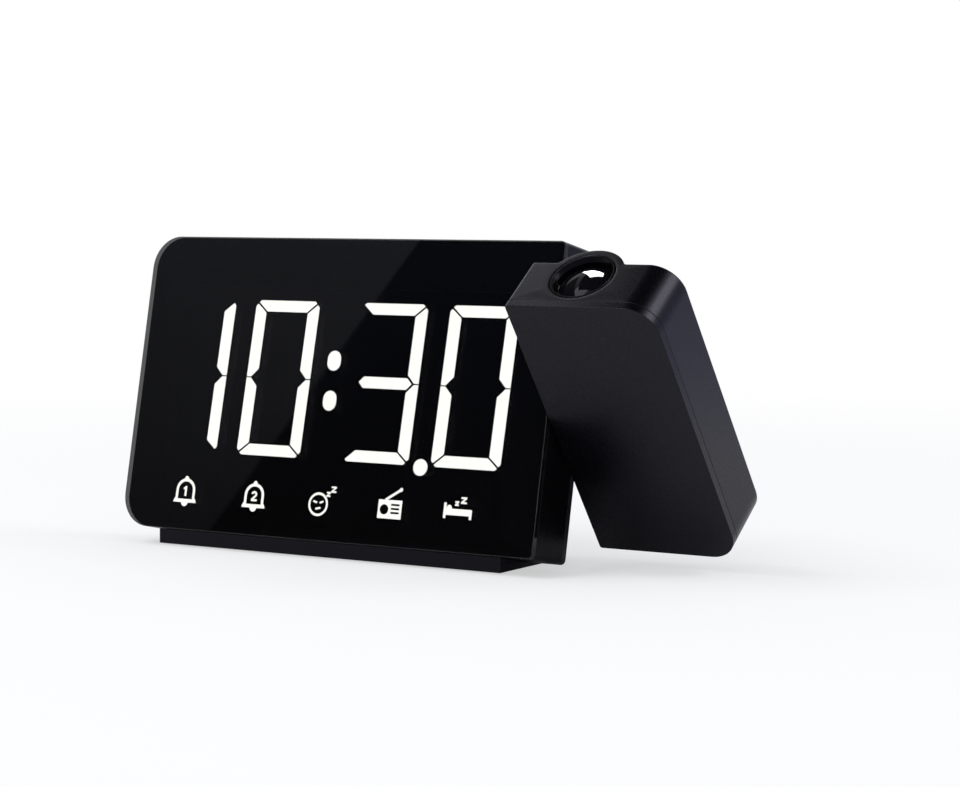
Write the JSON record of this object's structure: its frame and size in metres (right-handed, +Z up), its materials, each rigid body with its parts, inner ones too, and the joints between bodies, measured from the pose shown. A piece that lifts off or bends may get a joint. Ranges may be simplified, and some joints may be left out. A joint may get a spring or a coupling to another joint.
{
  "type": "projection alarm clock",
  "caption": "Leaning display slab on a low foot with a lit segment clock, top keys, and a swinging projector arm with focus ring.",
  "frame": {"origin": "on the table, centre of the clock as seen from above, with the arm swung forward", "axes": "+X to the right along the display, +Y away from the viewer, +Z up"},
  "size_m": [0.1965, 0.0706, 0.0958],
  "materials": {
    "smoked_window": "gloss",
    "case_black": "satin",
    "foot_black": "satin",
    "reflector_black": "matt",
    "lit_diffuser": "lit",
    "dark_diffuser": "satin",
    "led_yellow": "gloss",
    "circuit_board": "satin",
    "brass": "satin",
    "chip_black": "matt",
    "switch_grey": "satin",
    "speaker_steel": "satin",
    "speaker_paper": "matt",
    "inlet_black": "satin",
    "socket_steel": "satin",
    "screw_black": "black oxide",
    "screw_steel": "zinc",
    "pad_rubber": "matt",
    "bush_nylon": "satin",
    "spring_steel": "satin",
    "socket_white": "satin",
    "wire_red": "satin",
    "arm_black": "gloss",
    "arm_cover_black": "gloss",
    "lens_mount_black": "satin",
    "optical_glass": "polished",
    "sink_aluminium": "satin",
    "ring_black": "gloss",
    "key_black": "satin"
  },
  "bodies": {
    "root": {"display_window": "smoked_window", "front_case": "case_black", "rear_cover": "case_black", "segment_reflector": "reflector_black", "lit_segments": "lit_diffuser", "dark_segments": "dark_diffuser", "status_signs": "lit_diffuser", "segment_leds": "led_yellow", "display_board": "circuit_board", "board_spacers": "brass", "main_board": "circuit_board", "main_chips": "chip_black", "key_board": "circuit_board", "tact_switches": "switch_grey", "speaker_basket": "speaker_steel", "speaker_cone": "speaker_paper", "speaker_magnet": "speaker_steel", "port_board": "circuit_board", "power_inlet": "inlet_black", "usb_socket": "socket_steel", "case_screws": "screw_black", "foot_base": "foot_black", "foot_screws": "screw_steel", "rubber_pads": "pad_rubber", "coin_cell": "screw_steel", "battery_contacts": "brass", "pivot_bush": "bush_nylon", "friction_washer": "spring_steel", "cable_socket": "socket_white", "pivot_cable": "wire_red"},
    "projector_arm": {"pivot_tube": "screw_steel", "pivot_clip": "spring_steel", "pivot_screws": "screw_steel", "arm_shell": "arm_black", "arm_cover": "arm_cover_black", "arm_screws": "screw_black", "lens_sleeve": "lens_mount_black", "condenser_lens": "optical_glass", "spacer_ring": "lens_mount_black", "slide_frame": "lens_mount_black", "projection_slide": "optical_glass", "projection_led": "led_yellow", "heat_sink": "sink_aluminium", "projector_board": "circuit_board", "projector_socket": "socket_white"},
    "focus_ring": {"focus_ring": "ring_black"},
    "lens_cell": {"lens_cell": "lens_mount_black", "objective_lens": "optical_glass"},
    "battery_door": {"battery_door": "foot_black"},
    "snooze_bar": {"snooze_bar": "key_black"},
    "key_time": {"key_time": "key_black"},
    "key_alarm_one": {"key_alarm_one": "key_black"},
    "key_alarm_two": {"key_alarm_two": "key_black"},
    "key_radio": {"key_radio": "key_black"},
    "key_down": {"key_down": "key_black"},
    "key_up": {"key_up": "key_black"}
  },
  "joints": [
    {"name": "arm_swing", "type": "hinge", "parent": "root", "child": "projector_arm", "pos_m": [0.052, 0.00145, 0.04839], "axis": [1, 0, 0], "range_deg": [-138.6, 41.4]},
    {"name": "focus_turn", "type": "hinge", "parent": "projector_arm", "child": "focus_ring", "pos_m": [0.07105, -0.02442, 0.08649], "axis": [0, -0.5962, 0.8028], "range_deg": [-120.5, 120.5]},
    {"name": "lens_slide", "type": "slide", "parent": "projector_arm", "child": "lens_cell", "axis": [0, -0.5962, 0.8028], "range_m": [-0.001, 0.001]},
    {"name": "door_slide", "type": "slide", "parent": "root", "child": "battery_door", "axis": [0, 1, 0], "range_m": [0, 0.022]},
    {"name": "snooze_bar_press", "type": "slide", "parent": "root", "child": "snooze_bar", "axis": [0, -0.2079, -0.9781], "range_m": [0, 0.0005], "stiffness_N_per_m": 800, "springref_m": -0.0003},
    {"name": "key_time_press", "type": "slide", "parent": "root", "child": "key_time", "axis": [0, -0.2079, -0.9781], "range_m": [0, 0.0005], "stiffness_N_per_m": 800, "springref_m": -0.0003},
    {"name": "key_alarm_one_press", "type": "slide", "parent": "root", "child": "key_alarm_one", "axis": [0, -0.2079, -0.9781], "range_m": [0, 0.0005], "stiffness_N_per_m": 800, "springref_m": -0.0003},
    {"name": "key_alarm_two_press", "type": "slide", "parent": "root", "child": "key_alarm_two", "axis": [0, -0.2079, -0.9781], "range_m": [0, 0.0005], "stiffness_N_per_m": 800, "springref_m": -0.0003},
    {"name": "key_radio_press", "type": "slide", "parent": "root", "child": "key_radio", "axis": [0, -0.2079, -0.9781], "range_m": [0, 0.0005], "stiffness_N_per_m": 800, "springref_m": -0.0003},
    {"name": "key_down_press", "type": "slide", "parent": "root", "child": "key_down", "axis": [0, -0.2079, -0.9781], "range_m": [0, 0.0005], "stiffness_N_per_m": 800, "springref_m": -0.0003},
    {"name": "key_up_press", "type": "slide", "parent": "root", "child": "key_up", "axis": [0, -0.2079, -0.9781], "range_m": [0, 0.0005], "stiffness_N_per_m": 800, "springref_m": -0.0003}
  ],
  "couplings": [
    {"joint": "focus_turn", "follows": "lens_slide", "rad_per_m": 2094.4}
  ]
}
